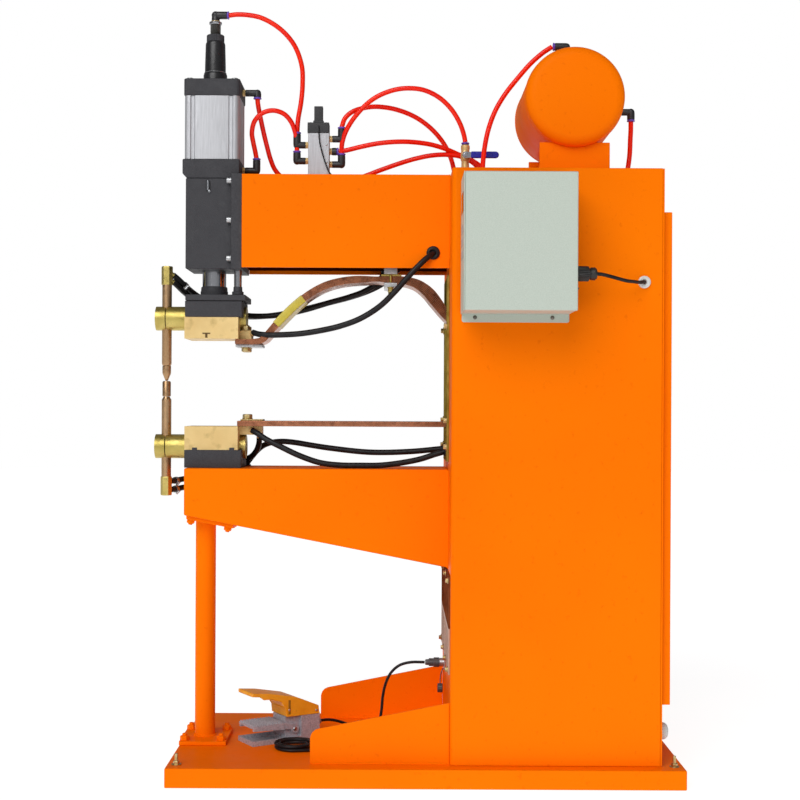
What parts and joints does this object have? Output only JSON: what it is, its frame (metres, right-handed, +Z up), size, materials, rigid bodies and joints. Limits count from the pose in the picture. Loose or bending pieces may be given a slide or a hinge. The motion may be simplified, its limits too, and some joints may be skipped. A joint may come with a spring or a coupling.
{
  "type": "pneumatic spot welder",
  "caption": "Floor-standing pneumatic spot welder: column with transformer, two arms, air-driven upper electrode, air tank, controller and foot switch.",
  "frame": {"origin": "centre of the base's underside, at floor level", "axes": "+Z up; -X is the side where the operator stands, +X the service door, -Y the side with the controller"},
  "size_m": [1.06, 0.597, 1.555],
  "materials": {
    "orange_paint": "glossy orange powder coat",
    "black_coating": "matt black textured coating",
    "chrome_steel": "hard chromed and ground",
    "cast_aluminium": "anodised, satin",
    "brass_block": "milled brass, satin",
    "aged_brass": "darkened brass",
    "copper": "bare copper, slightly oxidised",
    "electrode_copper": "chromium copper, browned by heat",
    "plated_steel": "zinc-plated",
    "core_laminations": "stacked electrical steel",
    "olive_laminate": "glass-epoxy insulating sheet",
    "brown_laminate": "paper-phenolic insulating sheet",
    "grey_enamel": "grey-green fine texture paint",
    "pedal_grey": "hammered grey die-cast",
    "pedal_yellow": "yellow-orange gloss paint",
    "black_rubber": "flexible jacket",
    "red_hose": "polyurethane air tubing",
    "blue_grip": "dipped vinyl sleeve",
    "dark_plastic": "moulded"
  },
  "bodies": {
    "frame": {"base_pan": "orange_paint", "base_rib": "orange_paint", "column_shell": "orange_paint", "column_door_frame": "orange_paint", "front_wing": "orange_paint", "rear_wing": "orange_paint", "secondary_window_panel": "olive_laminate", "vent_panel": "brown_laminate", "upper_arm": "orange_paint", "lower_arm": "orange_paint", "support_pillar": "orange_paint", "head_mount_plate": "black_coating", "head_housing": "black_coating", "ram_bush": "brass_block", "cylinder_top_cap": "black_coating", "cylinder_barrel": "cast_aluminium", "cylinder_bottom_cap": "black_coating", "adjuster_sleeve": "black_coating", "lower_insulator_block": "black_coating", "lower_clamp_block": "brass_block", "lower_electrode_bar": "aged_brass", "lower_electrode": "electrode_copper", "lower_cap_tip": "electrode_copper", "lower_conductor_bar": "copper", "shunt": "copper", "shunt_clamp": "plated_steel", "solenoid_valve": "cast_aluminium", "ball_valve": "brass_block", "air_tank": "orange_paint", "tank_cradle": "orange_paint", "control_box": "grey_enamel", "operator_panel": "plated_steel", "transformer_core": "core_laminations", "transformer_coil": "olive_laminate", "secondary_casting": "copper", "thyristor_module": "plated_steel", "pedal_socket": "plated_steel", "pedal_plug": "plated_steel", "pedal_cord_run": "black_rubber", "pedal_cord_coil": "black_rubber", "pedal_cord_tail": "black_rubber", "pedal_body": "pedal_grey", "pedal_guard": "pedal_yellow", "retract_air_hose": "red_hose"},
    "ram": {"main_piston": "cast_aluminium", "ram_shaft": "chrome_steel", "guide_rod": "chrome_steel", "ram_plate": "black_coating", "upper_insulator_block": "black_coating", "upper_clamp_block": "brass_block", "upper_electrode_bar": "aged_brass", "upper_electrode": "electrode_copper", "upper_cap_tip": "electrode_copper"},
    "retract_set": {"hollow_rod": "chrome_steel", "stroke_nut": "black_coating"},
    "supply_lever": {"valve_lever": "blue_grip"},
    "service_door": {"rear_door": "orange_paint"},
    "latch_handle": {"door_latch": "dark_plastic"},
    "power_switch": {"power_rocker": "dark_plastic"},
    "foot_treadle": {"treadle": "pedal_grey"}
  },
  "joints": [
    {"name": "ram_slide", "type": "slide", "parent": "frame", "child": "ram", "axis": [0, 0, 1], "range_m": [0, 0.03], "deforming": ["shunt"]},
    {"name": "retract_slide", "type": "slide", "parent": "frame", "child": "retract_set", "axis": [0, 0, 1], "range_m": [0, 0.03], "deforming": ["retract_air_hose"]},
    {"name": "supply_lever_turn", "type": "hinge", "parent": "frame", "child": "supply_lever", "pos_m": [0.082, 0, 1.2545], "axis": [0, -1, 0], "range_deg": [0, 90]},
    {"name": "service_door_hinge", "type": "hinge", "parent": "frame", "child": "service_door", "pos_m": [0.461, -0.209, 0.63], "axis": [0, 0, -1], "range_deg": [0, 100]},
    {"name": "latch_turn", "type": "hinge", "parent": "service_door", "child": "latch_handle", "pos_m": [0.48, 0.165, 0.64], "axis": [1, 0, 0], "range_deg": [0, 90]},
    {"name": "power_switch_rock", "type": "hinge", "parent": "frame", "child": "power_switch", "pos_m": [0.2725, -0.3, 0.948], "axis": [0, -1, 0], "range_deg": [0, 12]},
    {"name": "treadle_press", "type": "hinge", "parent": "frame", "child": "foot_treadle", "pos_m": [-0.28304, 0.0046, 0.0643], "axis": [0.5299, -0.848, 0], "range_deg": [0, 8.5], "stiffness_Nm_per_rad": 6, "springref_deg": -8.59}
  ]
}
